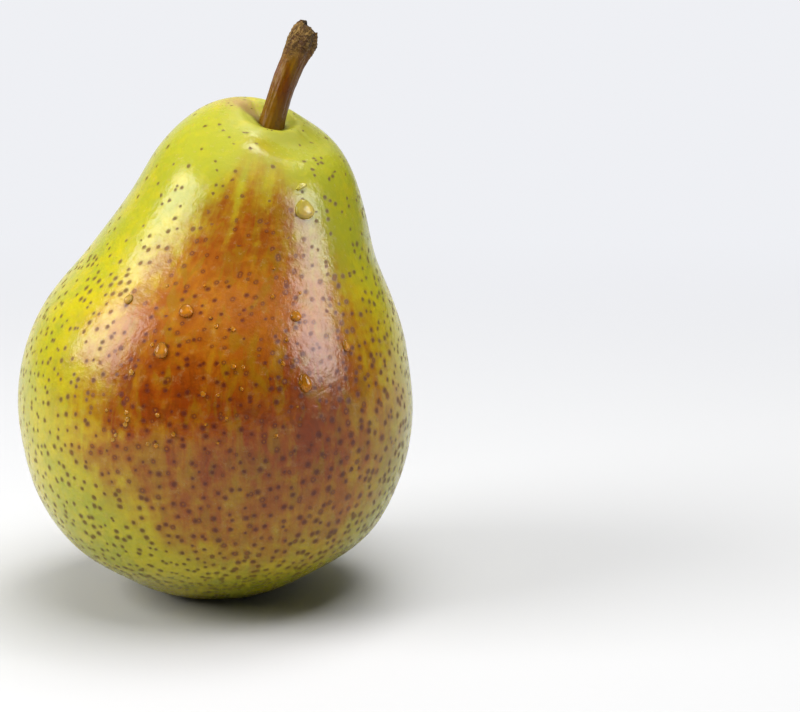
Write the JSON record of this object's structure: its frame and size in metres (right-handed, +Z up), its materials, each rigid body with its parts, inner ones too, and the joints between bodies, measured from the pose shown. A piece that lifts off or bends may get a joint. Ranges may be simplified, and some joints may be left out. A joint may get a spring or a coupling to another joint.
{
  "type": "pear",
  "caption": "Whole ripe pear with a bent neck, a woody stem leaning from its tilted top hollow, and a dried eye in the basin it stands on.",
  "frame": {"origin": "on the table, under the middle of the fruit's widest reach", "axes": "+Z up from the eye basin to the stem, +X to the side that the neck and stem lean to"},
  "size_m": [0.0674, 0.0678, 0.0981],
  "materials": {
    "pear_skin": "thin waxy fruit skin, semi-gloss, yellow-green ground with a brownish-red blush and small dark lenticels",
    "stem_bark": "smooth reddish-brown bark, matt at the broken knob",
    "dried_sepals": "dry, wrinkled, dark brown and matt"
  },
  "bodies": {
    "root": {"fruit": "pear_skin", "stem": "stem_bark", "calyx": "dried_sepals"}
  },
  "joints": []
}
